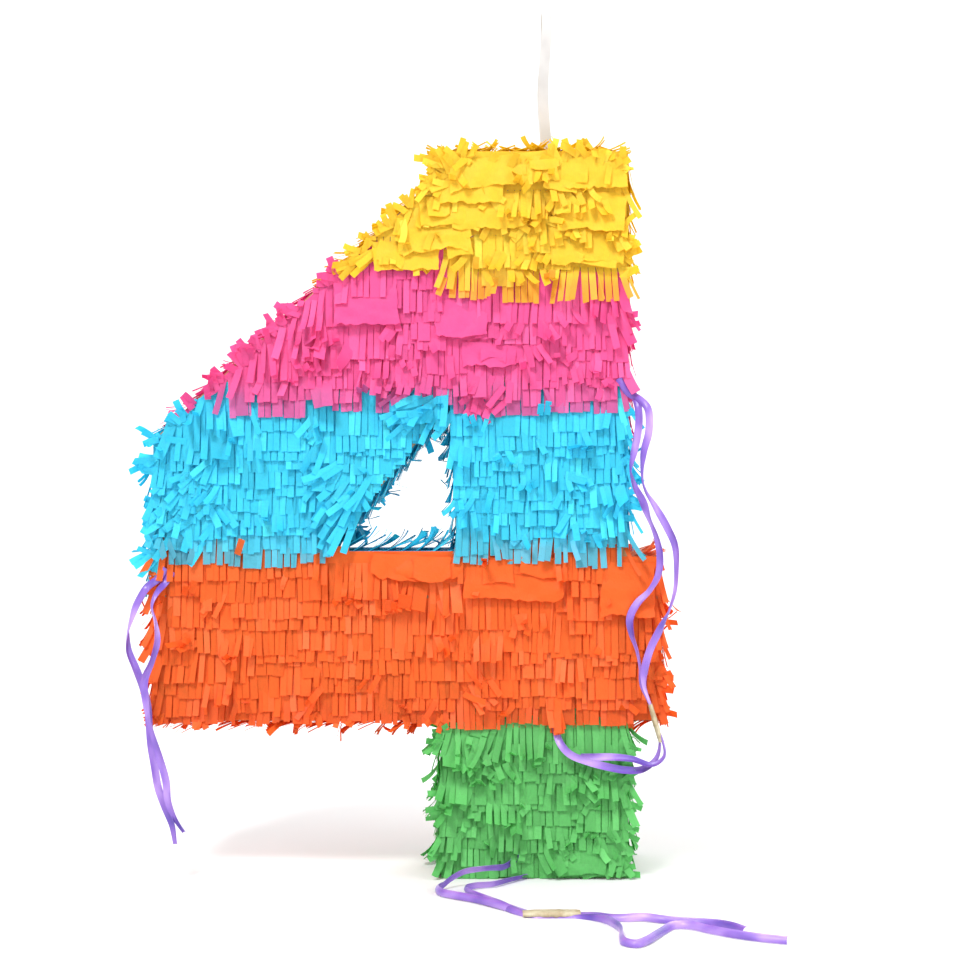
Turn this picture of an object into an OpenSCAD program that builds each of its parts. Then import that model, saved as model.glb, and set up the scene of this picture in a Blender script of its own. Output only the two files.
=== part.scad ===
// Number-four pinata: a hollow cardboard body between two panels, covered with tissue fringe,
// with a ribbon loop to hang it from, a fill flap in its back and curling-ribbon streamers.
// The frame's origin is inside the crown of the hanging loop. +X is right as seen from the
// front, -Y is the front and +Z is up. The functions below work with heights above the foot,
// and hang() moves the finished shape down to its place under the loop.

/* [Number body] */
// Height of the card body, foot to top
body_h = 414; // [404:1:430]
// Depth of the card body, front panel to back panel
body_depth = 66; // [56:1:80]
// Width of the stem
stem_w = 106; // [100:1:112]
// Distance from the loop's axis to the stem's right side
stem_right = 45; // [40:1:46]
// Reach of the crossbar's left arm beyond the stem
arm_reach = 164; // [156:1:172]
// Reach of the crossbar's right stub beyond the stem
stub_reach = 19; // [10:1:26]
// Height of the crossbar's underside above the foot
bar_low = 90; // [90:1:94]
// Height of the crossbar's top above the foot
bar_high = 183; // [180:1:184]
// Height at which the slope starts on the left end
slope_low = 250; // [230:1:260]
// Height where the slope ends and the top's short upright end starts
slope_high = 397; // [390:1:404]
// Width of the flat top, left of the stem's right side
top_w = 111; // [108:1:124]

/* [Card] */
// Thickness of the front and back panels
panel_t = 3; // [2:0.5:4]
// Thickness of the wall strips
wall_t = 2; // [1.5:0.5:3]

/* [Tissue fringe] */
// Height from one row of fringe to the next
row_pitch = 9; // [7:0.5:12]
// How far the tips of the fringe stand off the card
fringe_t = 5; // [4:0.5:6]
// How far the glued top of each row stands off the card
margin_t = 2.5; // [2:0.5:3]
// Where green ends and orange begins
green_top = 84; // [80:1:85]
// Where orange ends and blue begins
orange_top = 181; // [178:1:182]
// Where blue ends and pink begins
blue_top = 267; // [260:1:276]
// Where pink ends and yellow begins
pink_top = 330; // [320:1:336]

/* [Fill flap] */
// Width of the flap
flap_w = 76; // [60:1:80]
// Height of the flap
flap_h = 54; // [46:1:56]
// Height of the flap's hinge above the foot
flap_hinge = 396; // [392:1:400]
// Gap round the flap's free edges
flap_gap = 0.5; // [0.4:0.1:1]
// Radius of the finger notch under the flap
notch_r = 9; // [6:0.5:10]

/* [Ribbons] */
// Width of the curling ribbon
ribbon_w = 5; // [4:0.5:5]
// Width of the hanging loop's ribbon
loop_w = 6; // [5:0.5:6]
// Front-to-back distance between the loop's two holes
loop_spread = 16; // [16:0.5:18]
// Height of the loop's crown above the foot, measured inside the ribbon
hang_h = 498; // [494:1:502]

/* [Hidden] */

KRAFT = [0.76, 0.60, 0.42];
WOOD = [0.85, 0.72, 0.50];
WHITE = [0.93, 0.92, 0.91];
PURPLE = [0.58, 0.42, 0.84];
TAPE = [0.80, 0.74, 0.60];
YELLOW = [1.00, 0.83, 0.23];
PINK = [1.00, 0.41, 0.67];
BLUE = [0.31, 0.84, 0.96];
ORANGE = [1.00, 0.43, 0.18];
GREEN = [0.40, 0.80, 0.45];

half_depth = body_depth / 2;
inner_half = half_depth - panel_t;
fringe_y = half_depth + fringe_t;
stem_left = stem_right - stem_w;
arm_left = stem_left - arm_reach;
stub_right = stem_right + stub_reach;
top_left = stem_right - top_w;
yellow_top = body_h + fringe_t;
// Round the edge, orange also covers the top of the stub.
edge_orange_top = bar_high + fringe_t;

// The card outline of the 4, clockwise from the top left corner, as [x, height].
OUTLINE = [
    [top_left, body_h], [stem_right, body_h], [stem_right, bar_high], [stub_right, bar_high],
    [stub_right, bar_low], [stem_right, bar_low], [stem_right, 0], [stem_left, 0],
    [stem_left, bar_low], [arm_left, bar_low], [arm_left, slope_low], [top_left, slope_high],
];
// The triangular hole: apex, foot beside the stem, foot at the left.
hole_floor = bar_high + 3;
hole_wall_x = stem_left + 9;
HOLE = [[hole_wall_x - 4, hole_floor + 86], [hole_wall_x, hole_floor], [arm_left + 99, hole_floor]];

function unit(v) = v / norm(v);
function left_of(v) = [-v[1], v[0]];
function pick(points, i) = points[(i + len(points)) % len(points)];

// The corner of a closed outline, moved sideways by d on both of its sides; d > 0 grows a
// clockwise outline.
function moved_corner(before, at, after, d) =
    let (n1 = left_of(unit(at - before)), n2 = left_of(unit(after - at)))
    at + d * (n1 + n2) / (1 + n1 * n2);
function outset(points, d) = [
    for (i = [0:len(points) - 1])
        moved_corner(pick(points, i - 1), points[i], pick(points, i + 1), d)
];

module hang() {
    translate([0, 0, -hang_h]) children();
}

// A shape drawn as [x, height], standing up from y0 to y1.
module upright(y0, y1) {
    translate([0, y1, 0]) rotate([90, 0, 0]) linear_extrude(height = y1 - y0) children();
}

module ring(outer, inner) {
    difference() {
        polygon(outer);
        polygon(inner);
    }
}

// ---- Card body ----

module front_panel() {
    color(KRAFT) hang() upright(-half_depth, -inner_half) ring(OUTLINE, HOLE);
}

flap_left = -flap_w / 2 - 8;
flap_low = flap_hinge - flap_h;
notch_x = flap_left + flap_w / 2;

module back_panel() {
    color(KRAFT) hang() difference() {
        upright(inner_half, half_depth) ring(OUTLINE, HOLE);
        translate([flap_left - flap_gap, inner_half - 1, flap_low - flap_gap])
            cube([flap_w + 2 * flap_gap, panel_t + 2, flap_h + 2 * flap_gap]);
        translate([notch_x, half_depth + 1, flap_low])
            rotate([90, 0, 0]) cylinder(r = notch_r, h = panel_t + 2, $fn = 48);
    }
}

module fill_flap() {
    color(KRAFT) hang() translate([flap_left, inner_half, flap_low])
        cube([flap_w, panel_t, flap_h]);
}

// One wall strip, along the side of an outline that starts at corner i. Its ends are mitred.
module wall(outline, i) {
    inner = outset(outline, -wall_t);
    upright(-inner_half, inner_half)
        polygon([outline[i], pick(outline, i + 1), pick(inner, i + 1), inner[i]]);
}

module body_wall(i) {
    color(KRAFT) hang() wall(OUTLINE, i);
}

// The hole's walls stand inside the body, so their outline grows instead of shrinking.
module hole_wall(i) {
    outer = outset(HOLE, wall_t);
    color(KRAFT) hang() upright(-inner_half, inner_half)
        polygon([HOLE[i], pick(HOLE, i + 1), pick(outer, i + 1), outer[i]]);
}

// ---- Hanging loop and what holds it inside ----

loop_hole_r = loop_w / 2 + 0.5;
anchor_size = [60, 40, 3];
anchor_top = body_h - wall_t;
toggle_r = 2.5;
knot_r = 4.5;
knot_length = 26;
toggle_z = anchor_top - anchor_size[2] - toggle_r;
knot_z = anchor_top - anchor_size[2] - knot_r - 0.5;

module loop_holes(z0, depth) {
    for (side = [-1, 1])
        translate([0, side * loop_spread / 2, z0]) cylinder(r = loop_hole_r, h = depth, $fn = 48);
}

module top_wall() {
    color(KRAFT) hang() difference() {
        wall(OUTLINE, 0);
        loop_holes(body_h - wall_t - 1, wall_t + 2);
    }
}

module loop_anchor() {
    color(KRAFT) hang() difference() {
        translate([-anchor_size[0] / 2, -anchor_size[1] / 2, anchor_top - anchor_size[2]])
            cube(anchor_size);
        loop_holes(anchor_top - anchor_size[2] - 1, anchor_size[2] + 2);
    }
}

module loop_toggle() {
    color(WOOD) hang() translate([-28, 0, toggle_z])
        rotate([0, 90, 0]) cylinder(r = toggle_r, h = 56, $fn = 48);
}

module loop_knot() {
    color(WHITE) hang() translate([0, -knot_length / 2, knot_z])
        rotate([-90, 0, 0]) cylinder(r = knot_r, h = knot_length, $fn = 48);
}

// ---- Ribbons ----

// A closed tube swept along a route of points.
function along(points, i) =
    let (last = len(points) - 1)
    unit(points[min(i + 1, last)] - points[max(i - 1, 0)]);
function square_to(v, t) = unit(v - (v * t) * t);
function sides(points) = [
    for (i = 0, u = square_to([0.3, 1, 0.2], along(points, 0)); i < len(points); i = i + 1,
        u = i < len(points) ? square_to(u, along(points, i)) : u) u
];
function ring_at(p, t, u, r, n) =
    let (v = cross(t, u))
    [for (k = [0:n - 1]) p + r * (cos(360 * k / n) * u + sin(360 * k / n) * v)];

module tube(points, d, n = 8) {
    u = sides(points);
    rings = [for (i = [0:len(points) - 1]) each ring_at(points[i], along(points, i), u[i], d / 2, n)];
    count = len(points);
    walls = [
        for (i = [0:count - 2], k = [0:n - 1])
            [i * n + k, (i + 1) * n + k, (i + 1) * n + (k + 1) % n, i * n + (k + 1) % n]
    ];
    start = [for (k = [0:n - 1]) k];
    end = [for (k = [n - 1:-1:0]) (count - 1) * n + k];
    polyhedron(points = rings, faces = concat([start], walls, [end]), convexity = 6);
}

module streamer(points) {
    color(PURPLE) hang() tube(points, ribbon_w);
}

loop_half = 12;
crown_z = hang_h - loop_half + loop_w / 2;
LOOP_SIDE = [
    [0, 8, 404], [0, 8, 412], [0, 8, 421], [-1, 9, 433], [-2, 11, 447], [-2, 12, 460], [-1, 12, 474],
];
LOOP = concat(
    [for (p = LOOP_SIDE) [p[0], -p[1], p[2]]],
    [for (a = [0:30:180]) [0, -loop_half * cos(a), crown_z + loop_half * sin(a)]],
    [for (i = [len(LOOP_SIDE) - 1:-1:0]) LOOP_SIDE[i]]
);

module hanging_loop() {
    color(WHITE) hang() tube(LOOP, loop_w);
}

RIGHT_A = [
    [45, -38, 285], [47, -39, 278], [50, -41, 271], [51, -42, 262], [50, -42, 252], [48, -42, 243],
    [46, -42, 234], [48, -42, 224], [53, -42, 215], [57, -42, 205], [61, -42, 195], [63, -42, 184],
    [62, -42, 173], [57, -42, 164], [50, -41, 157], [46, -41, 149], [47, -41, 140], [50, -41, 131],
    [52, -41, 121], [53, -41, 111], [57, -41, 101], [60, -41, 90], [63, -41, 79], [61, -41, 69],
    [53, -41, 63], [43, -43, 63], [33, -44, 65], [22, -44, 68], [12, -43, 72], [6, -42, 79],
    [4, -40, 88], [4, -37, 95],
];
RIGHT_B = [
    [40, -38, 285], [45, -39, 277], [52, -43, 272], [56, -46, 266], [56, -47, 254], [53, -47, 243],
    [52, -47, 232], [54, -47, 221], [60, -47, 211], [66, -47, 201], [71, -47, 190], [72, -47, 177],
    [71, -47, 164], [67, -47, 152], [62, -47, 142], [57, -46, 132], [54, -46, 121], [54, -45, 111],
    [57, -45, 101], [60, -45, 90], [64, -46, 80], [65, -46, 71], [58, -45, 66], [47, -43, 69],
    [36, -41, 70], [26, -41, 70], [18, -41, 70],
];
LEFT_A = [
    [-218, -38, 177], [-222, -39, 171], [-227, -42, 167], [-231, -42, 161], [-235, -42, 153],
    [-238, -42, 142], [-238, -42, 131], [-234, -42, 121], [-230, -42, 111], [-227, -42, 100],
    [-226, -42, 89], [-225, -42, 77], [-223, -42, 65], [-221, -42, 53], [-217, -42, 42],
    [-213, -42, 32], [-211, -42, 21],
];
LEFT_B = [
    [-214, -38, 175], [-218, -41, 169], [-222, -45, 163], [-224, -47, 156], [-222, -47, 147],
    [-221, -47, 136], [-224, -47, 125], [-228, -47, 114], [-227, -47, 102], [-225, -47, 91],
    [-222, -47, 80], [-219, -46, 69], [-216, -45, 57], [-215, -44, 46], [-211, -44, 36],
    [-206, -43, 28],
];
FOOT_A = [
    [-18, -38, 17], [-20, -39, 11], [-25, -44, 9], [-32, -49, 10], [-40, -53, 10], [-48, -56, 9],
    [-55, -60, 6], [-60, -66, 3], [-63, -74, 3], [-60, -83, 3], [-53, -90, 3], [-44, -97, 3],
    [-36, -106, 3], [-28, -115, 3], [-20, -123, 3], [-11, -128, 3], [0, -128, 3], [11, -129, 3],
    [20, -134, 3], [28, -140, 3], [36, -143, 3], [45, -143, 3], [54, -147, 3], [63, -148, 3],
    [72, -149, 3], [81, -154, 3], [88, -162, 3], [93, -170, 3],
];
FOOT_B = [
    [-12, -38, 3], [-18, -42, 3], [-25, -51, 3], [-32, -60, 3], [-41, -64, 3], [-46, -71, 3],
    [-47, -80, 3], [-43, -90, 3], [-36, -100, 3], [-29, -111, 3], [-21, -124, 3], [-11, -133, 3],
    [0, -133, 3], [11, -134, 3], [19, -139, 3], [25, -147, 3], [29, -159, 3], [31, -172, 3],
    [30, -185, 3], [31, -194, 3], [37, -199, 3], [43, -193, 3], [48, -182, 3], [53, -170, 3],
    [59, -160, 3], [67, -161, 3], [76, -170, 3], [87, -180, 3], [99, -187, 3], [111, -192, 3],
];

module right_ribbon_tape() {
    color(TAPE) hang() translate([60, -44, 90]) rotate([0, -16, 0]) translate([-3, -5.5, -11])
        cube([6, 11, 22]);
}

module foot_ribbon_tape() {
    color(TAPE) hang() translate([-16, -137, 0]) cube([28.5, 13, 6]);
}

// ---- Tissue fringe ----

// The slab's side view: one tooth for each row, thin at its glued top and thick at its tips.
module row_teeth(z0, z1) {
    rows = ceil((z1 - z0) / row_pitch);
    pitch = (z1 - z0) / rows;
    teeth = [for (k = [0:rows - 1]) each [[fringe_t, z0 + k * pitch], [margin_t, z0 + (k + 1) * pitch]]];
    polygon(concat([[0, z0]], teeth, [[0, z1]]));
}

// A fringed band on a flat panel: every row between two heights, cut to the shape of the 4.
module band(z0, z1) {
    intersection() {
        translate([arm_left - fringe_t, 0, 0]) rotate([90, 0, 90])
            linear_extrude(height = stub_right - arm_left + 2 * fringe_t) row_teeth(z0, z1);
        upright(-1, fringe_t + 1) ring(outset(OUTLINE, fringe_t), outset(HOLE, -fringe_t));
    }
}

module front_band(z0, z1) {
    hang() translate([0, -half_depth, 0]) mirror([0, 1, 0]) band(z0, z1);
}

module back_band(z0, z1) {
    hang() translate([0, half_depth, 0]) band(z0, z1);
}

// The fringe that wraps the walls all round, between two heights.
module edge_band(z0, z1) {
    hang() upright(-half_depth, half_depth) intersection() {
        ring(outset(OUTLINE, fringe_t), OUTLINE);
        translate([arm_left - fringe_t - 1, z0])
            square([stub_right - arm_left + 2 * fringe_t + 2, z1 - z0]);
    }
}

module hole_fringe_blue() {
    color(BLUE) hang() upright(-half_depth, half_depth) ring(HOLE, outset(HOLE, -fringe_t));
}

// Bare card round the flap, and between its hinge and its first row.
flap_room = 2;
flap_bare = 8;

module back_fringe_yellow() {
    color(YELLOW) difference() {
        back_band(pink_top, yellow_top);
        hang() translate([flap_left - flap_room, half_depth - 1, flap_low - flap_room])
            cube([flap_w + 2 * flap_room, fringe_t + 2, flap_h + 2 * flap_room]);
    }
}

// The flap's own rows start below its hinge, so that they clear the rows above as it opens.
module flap_fringe() {
    color(YELLOW) hang() translate([flap_left, half_depth, 0]) rotate([90, 0, 90])
        linear_extrude(height = flap_w) row_teeth(flap_low, flap_hinge - flap_bare);
}

front_panel();
back_panel();
fill_flap();
top_wall();
body_wall(1);  // right_wall
body_wall(2);  // stub_top_wall
body_wall(3);  // stub_end_wall
body_wall(4);  // stub_under_wall
body_wall(5);  // stem_right_wall
body_wall(6);  // foot_wall
body_wall(7);  // stem_left_wall
body_wall(8);  // arm_under_wall
body_wall(9);  // arm_end_wall
body_wall(10);  // slope_wall
body_wall(11);  // top_end_wall
hole_wall(0);  // hole_stem_wall
hole_wall(1);  // hole_floor_wall
hole_wall(2);  // hole_slope_wall
loop_anchor();
loop_toggle();
loop_knot();
hanging_loop();
color(YELLOW) front_band(pink_top, yellow_top);  // front_fringe_yellow
color(PINK) front_band(blue_top, pink_top);  // front_fringe_pink
color(BLUE) front_band(orange_top, blue_top);  // front_fringe_blue
color(ORANGE) front_band(green_top, orange_top);  // front_fringe_orange
color(GREEN) front_band(0, green_top);  // front_fringe_green
back_fringe_yellow();
color(PINK) back_band(blue_top, pink_top);  // back_fringe_pink
color(BLUE) back_band(orange_top, blue_top);  // back_fringe_blue
color(ORANGE) back_band(green_top, orange_top);  // back_fringe_orange
color(GREEN) back_band(0, green_top);  // back_fringe_green
color(YELLOW) edge_band(pink_top, yellow_top);  // edge_fringe_yellow
color(PINK) edge_band(blue_top, pink_top);  // edge_fringe_pink
color(BLUE) edge_band(edge_orange_top, blue_top);  // edge_fringe_blue
color(ORANGE) edge_band(green_top, edge_orange_top);  // edge_fringe_orange
color(GREEN) edge_band(0, green_top);  // edge_fringe_green
hole_fringe_blue();
flap_fringe();
streamer(RIGHT_A);  // right_ribbon_a
streamer(RIGHT_B);  // right_ribbon_b
right_ribbon_tape();
streamer(LEFT_A);  // left_ribbon_a
streamer(LEFT_B);  // left_ribbon_b
streamer(FOOT_A);  // foot_ribbon_a
streamer(FOOT_B);  // foot_ribbon_b
foot_ribbon_tape();
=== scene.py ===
"""A number-four pinata: rows of cut tissue on a card body, with ribbons, in a pale studio."""

import math

import bpy
import numpy as np
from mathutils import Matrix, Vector

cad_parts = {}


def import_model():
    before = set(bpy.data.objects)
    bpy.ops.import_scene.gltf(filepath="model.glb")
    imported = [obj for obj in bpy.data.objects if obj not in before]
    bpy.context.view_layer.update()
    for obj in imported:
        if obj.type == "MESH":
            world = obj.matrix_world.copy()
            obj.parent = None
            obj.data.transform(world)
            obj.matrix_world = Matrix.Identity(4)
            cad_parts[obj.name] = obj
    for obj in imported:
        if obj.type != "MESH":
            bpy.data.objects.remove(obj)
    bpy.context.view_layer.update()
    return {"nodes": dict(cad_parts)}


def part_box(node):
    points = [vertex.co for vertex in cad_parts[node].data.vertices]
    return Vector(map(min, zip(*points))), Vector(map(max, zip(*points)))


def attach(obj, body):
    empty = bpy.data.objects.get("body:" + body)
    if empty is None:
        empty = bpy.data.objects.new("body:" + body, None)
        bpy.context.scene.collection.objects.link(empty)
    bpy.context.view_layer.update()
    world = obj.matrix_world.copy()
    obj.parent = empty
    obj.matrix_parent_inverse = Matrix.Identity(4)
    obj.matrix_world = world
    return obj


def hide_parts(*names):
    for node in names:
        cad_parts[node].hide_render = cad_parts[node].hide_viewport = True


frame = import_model()

# ---- The body's dimensions ----
# In millimetres: x from the loop's axis, y from the middle of the depth and h above the foot.

MM = 0.001
deg = math.radians


def box_mm(node):
    low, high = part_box(node)
    return np.array(low) / MM, np.array(high) / MM


PANEL_LOW, PANEL_HIGH = box_mm("front_panel")
FOOT_LOW, FOOT_HIGH = box_mm("foot_wall")
FOOT_Z = PANEL_LOW[2]


def top_of(node):
    return box_mm(node)[1][2] - FOOT_Z


FACE_Y = -PANEL_LOW[1]
BODY_H = top_of("front_panel")
STEM_L, STEM_R = FOOT_LOW[0], FOOT_HIGH[0]
ARM_L, STUB_R = PANEL_LOW[0], PANEL_HIGH[0]
BAR_LOW = box_mm("arm_under_wall")[0][2] - FOOT_Z
BAR_HIGH = top_of("stub_top_wall")
SLOPE_LOW = top_of("arm_end_wall")
TOP_L = box_mm("top_end_wall")[0][0]
SLOPE_HIGH = top_of("slope_wall")
HOLE_LOW, HOLE_HIGH = box_mm("hole_fringe_blue")
HOLE_FLOOR, HOLE_TOP = HOLE_LOW[2] - FOOT_Z, HOLE_HIGH[2] - FOOT_Z
FLAP_LOW, FLAP_HIGH = box_mm("fill_flap")
FLAP_BASE, FLAP_HINGE = FLAP_LOW[2] - FOOT_Z, FLAP_HIGH[2] - FOOT_Z

OUTLINE = [
    (TOP_L, BODY_H), (STEM_R, BODY_H), (STEM_R, BAR_HIGH), (STUB_R, BAR_HIGH),
    (STUB_R, BAR_LOW), (STEM_R, BAR_LOW), (STEM_R, 0), (STEM_L, 0),
    (STEM_L, BAR_LOW), (ARM_L, BAR_LOW), (ARM_L, SLOPE_LOW), (TOP_L, SLOPE_HIGH),
]
SLOPE_LEAN = (TOP_L - ARM_L) / (SLOPE_HIGH - SLOPE_LOW)
APEX_SHIFT = -4
HOLE = [
    (HOLE_HIGH[0] + APEX_SHIFT, HOLE_TOP), (HOLE_HIGH[0], HOLE_FLOOR), (HOLE_LOW[0], HOLE_FLOOR),
]
BANDS = ("yellow", "pink", "blue", "orange", "green")
BAND_TOP = {name: top_of("front_fringe_" + name) for name in BANDS}
BAND_LOW = {name: BAND_TOP[lower] for name, lower in zip(BANDS, BANDS[1:])}
BAND_TOP["yellow"], BAND_LOW["green"] = BODY_H, 0.0


def world(points):
    """Millimetres as (x, y, h) to metres in the frame."""
    return (np.asarray(points, float) + [0, 0, FOOT_Z]) * MM


# ---- Materials ----


def srgb(r, g, b):
    """A colour from 0-255 screen values, as linear light."""
    c = np.array([r, g, b]) / 255
    return np.where(c <= 0.04045, c / 12.92, ((c + 0.055) / 1.055) ** 2.4)


TISSUE = {
    "yellow": srgb(255, 222, 60),
    "pink": srgb(250, 100, 174),
    "blue": srgb(68, 226, 250),
    "orange": srgb(255, 120, 40),
    "green": srgb(116, 212, 120),
}


class Nodes:
    """A short way to write a node tree."""

    def __init__(self, name):
        self.mat = bpy.data.materials.new(name)
        self.mat.use_nodes = True
        self.tree = self.mat.node_tree
        self.tree.nodes.clear()
        self.out = self.add("OutputMaterial")

    def add(self, kind, **values):
        n = self.tree.nodes.new("ShaderNode" + kind)
        for key, value in values.items():
            if hasattr(n, key):
                setattr(n, key, value)
            else:
                n.inputs[key.replace("_", " ")].default_value = value
        return n

    def link(self, a, b):
        self.tree.links.new(a, b)

    def ramp(self, fac, stops):
        """Colours along fac: stops are (place, colour)."""
        n = self.add("ValToRGB")
        elements = n.color_ramp.elements
        while len(elements) < len(stops):
            elements.new(0.5)
        for e, (at, colour) in zip(elements, stops):
            e.position = at
            e.color = (*colour, 1)
        self.link(fac, n.inputs["Fac"])
        return n.outputs["Color"]

    def noise(self, vector, scale, detail=3, rough=0.55, stretch=None):
        """Noise at the vector; where stretch is below 1 its grain is drawn out."""
        if stretch:
            m = self.add("Mapping", Scale=stretch)
            self.link(vector, m.inputs["Vector"])
            vector = m.outputs["Vector"]
        n = self.add("TexNoise", Scale=scale, Detail=detail, Roughness=rough)
        self.link(vector, n.inputs["Vector"])
        return n.outputs["Fac"]

    def bump(self, height, strength, distance, before=None):
        n = self.add("Bump", Strength=strength, Distance=distance)
        self.link(height, n.inputs["Height"])
        if before:
            self.link(before, n.inputs["Normal"])
        return n.outputs["Normal"]

    def multiply(self, a, b):
        n = self.add("Mix", data_type="RGBA", blend_type="MULTIPLY", Factor=1.0)
        self.link(a, n.inputs[6])
        self.link(b, n.inputs[7])
        return n.outputs[2]

    def surface(self, colour, normal=None, **values):
        """A Principled shader of this colour and normal."""
        n = self.add("BsdfPrincipled", **values)
        self.link(colour, n.inputs["Base Color"])
        if normal:
            self.link(normal, n.inputs["Normal"])
        return n.outputs[0]

    def finish(self, shader):
        """The material, once the shader is its surface."""
        self.link(shader, self.out.inputs["Surface"])
        return self.mat


def grey(v):
    return (v, v, v)


def tissue_material(name):
    """Tissue paper: fibres and a fine crackle over each strand's own tint, a little light through."""
    k = Nodes("tissue_" + name)
    where = k.add("TexCoord").outputs["Object"]
    tint = k.add("Attribute", attribute_name="Tint").outputs["Color"]
    fibres = k.noise(where, 1500, 4, 0.6, (1, 1, 0.25))
    mottle = k.noise(where, 240, 3, 0.6)
    colour = k.multiply(tint, k.ramp(fibres, [(0.3, grey(0.93)), (0.7, grey(1.0))]))
    colour = k.multiply(colour, k.ramp(mottle, [(0.3, grey(0.96)), (0.65, grey(1.0))]))
    crackle = k.bump(k.noise(where, 300, 4, 0.6), 0.6, 0.0006)
    normal = k.bump(fibres, 0.25, 0.00015, crackle)
    paper = k.surface(colour, normal, Roughness=0.58, Specular_IOR_Level=0.4)
    glow = k.add("BsdfTranslucent")
    k.link(colour, glow.inputs["Color"])
    k.link(normal, glow.inputs["Normal"])
    mix = k.add("MixShader", Fac=0.48)
    k.link(paper, mix.inputs[1])
    k.link(glow.outputs[0], mix.inputs[2])
    return k.finish(mix.outputs[0])


def ribbon_material(name, light, middle, dark, rough, coat):
    """Satin ribbon: fine ribs along its length, and soft bands of painted highlight and painted shade across
    its tint.
    """
    k = Nodes(name)
    uv = k.add("UVMap", uv_map="Along").outputs["UV"]
    ribs = k.add("TexWave", wave_type="BANDS", bands_direction="Y", Scale=9.0, Distortion=0.4)
    k.link(uv, ribs.inputs["Vector"])
    # Painted sheen: noise drawn out along the ribbon blends the dark, middle and light colours into painted
    # shade and painted highlights.
    painted_sheen = k.noise(uv, 1.0, 2, 0.4, (0.42, 0.35, 1))
    colour = k.ramp(painted_sheen, [(0.30, dark), (0.48, middle), (0.70, light)])
    colour = k.multiply(colour, k.ramp(ribs.outputs["Fac"], [(0.0, grey(0.9)), (1.0, grey(1.0))]))
    normal = k.bump(ribs.outputs["Fac"], 0.25, 0.0001)
    return k.finish(k.surface(colour, normal, Roughness=rough, Coat_Weight=coat, Coat_Roughness=0.25))


def card_material():
    """Kraft card: long fibres, flecks and the faint lines of the flutes inside."""
    k = Nodes("kraft_card")
    where = k.add("TexCoord").outputs["Object"]
    fibres = k.noise(where, 900, 5, 0.65, (1, 1, 0.2))
    flecks = k.noise(where, 260, 2, 0.5)
    flutes = k.add("TexWave", wave_type="BANDS", bands_direction="X", Scale=48.0, Distortion=0.3)
    k.link(where, flutes.inputs["Vector"])
    colour = k.ramp(fibres, [(0.25, srgb(158, 122, 82)), (0.75, srgb(196, 160, 116))])
    colour = k.multiply(colour, k.ramp(flecks, [(0.36, grey(0.8)), (0.46, grey(1.0))]))
    line = k.ramp(flutes.outputs["Fac"], [(0.0, grey(0.93)), (0.5, grey(1.0))])
    colour = k.multiply(colour, line)
    ridge = k.bump(flutes.outputs["Fac"], 0.25, 0.0004)
    return k.finish(k.surface(colour, k.bump(fibres, 0.2, 0.0002, ridge), Roughness=0.86))


def wood_material():
    """Turned wood: grain and rings drawn out along the toggle."""
    k = Nodes("toggle_wood")
    where = k.add("TexCoord").outputs["Object"]
    grain = k.noise(where, 300, 4, 0.6, (0.08, 1, 1))
    rings = k.noise(where, 60, 2, 0.5, (0.1, 1, 1))
    colour = k.ramp(grain, [(0.3, srgb(196, 150, 92)), (0.7, srgb(228, 190, 136))])
    colour = k.multiply(colour, k.ramp(rings, [(0.4, grey(0.86)), (0.6, grey(1.0))]))
    return k.finish(k.surface(colour, k.bump(grain, 0.2, 0.0002), Roughness=0.55))


def tape_material():
    """Masking tape: crepe ridges on a beige paper with darker patches."""
    k = Nodes("masking_tape")
    where = k.add("TexCoord").outputs["Object"]
    crepe = k.noise(where, 1500, 3, 0.6, (1, 0.3, 0.3))
    layers = k.noise(where, 160, 2, 0.5)
    colour = k.ramp(layers, [(0.35, srgb(176, 158, 124)), (0.65, srgb(208, 200, 170))])
    colour = k.multiply(colour, k.ramp(crepe, [(0.3, grey(0.88)), (0.7, grey(1.0))]))
    return k.finish(k.surface(colour, k.bump(crepe, 0.5, 0.0003), Roughness=0.6))


def floor_material():
    """Pale studio paper, very slightly uneven."""
    k = Nodes("studio_paper")
    where = k.add("TexCoord").outputs["Object"]
    colour = k.ramp(k.noise(where, 2.0, 2, 0.5), [(0.2, grey(0.80)), (0.8, grey(0.81))])
    return k.finish(k.surface(colour, Roughness=0.9))


# ---- Mesh helpers ----


def put(name, data):
    """A new object in the scene."""
    thing = bpy.data.objects.new(name, data)
    bpy.context.scene.collection.objects.link(thing)
    return thing


def mesh_piece(name, points, faces, mat, sharp=180):
    """A smooth mesh of points in metres; edges that turn by more than sharp degrees stay sharp."""
    mesh = bpy.data.meshes.new(name)
    mesh.from_pydata(np.asarray(points).tolist(), [], faces)
    mesh.shade_smooth()
    if sharp < 180:
        mesh.set_sharp_from_angle(angle=deg(sharp))
    mesh.materials.append(mat)
    return put(name, mesh)


def assign(piece, node, body="body"):
    """Puts a piece on its body, in the place of its CAD node."""
    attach(piece, body)
    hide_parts(node)
    return piece


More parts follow.
